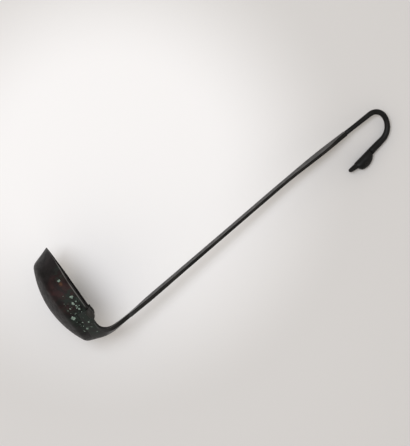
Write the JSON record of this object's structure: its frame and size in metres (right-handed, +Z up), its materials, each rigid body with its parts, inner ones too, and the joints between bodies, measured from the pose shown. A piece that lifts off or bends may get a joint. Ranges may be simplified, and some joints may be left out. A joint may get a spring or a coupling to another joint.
{
  "type": "simpulum ladle",
  "caption": "Bronze dipping ladle with a shallow round bowl, a long upright strap handle on a crescent root, and a hanging hook that ends in a duck's head.",
  "frame": {"origin": "centre of the bounding box's base, on the surface that the ladle lies on", "axes": "+X along the handle from the bowl to the hook, -Y the side that the hook turns to, +Z up from the surface"},
  "size_m": [0.296, 0.1128, 0.0811],
  "materials": {
    "bowl_bronze": "near-black patinated bronze, satin, with green and red-brown corrosion",
    "handle_bronze": "near-black patinated bronze, satin",
    "hook_bronze": "near-black patinated bronze, satin",
    "head_bronze": "near-black patinated bronze, satin",
    "grey_solder": "dull grey tin-lead solder"
  },
  "bodies": {
    "root": {"bowl": "bowl_bronze", "handle": "handle_bronze", "root_solder": "grey_solder", "hook": "hook_bronze", "duck_head": "head_bronze"}
  },
  "joints": []
}
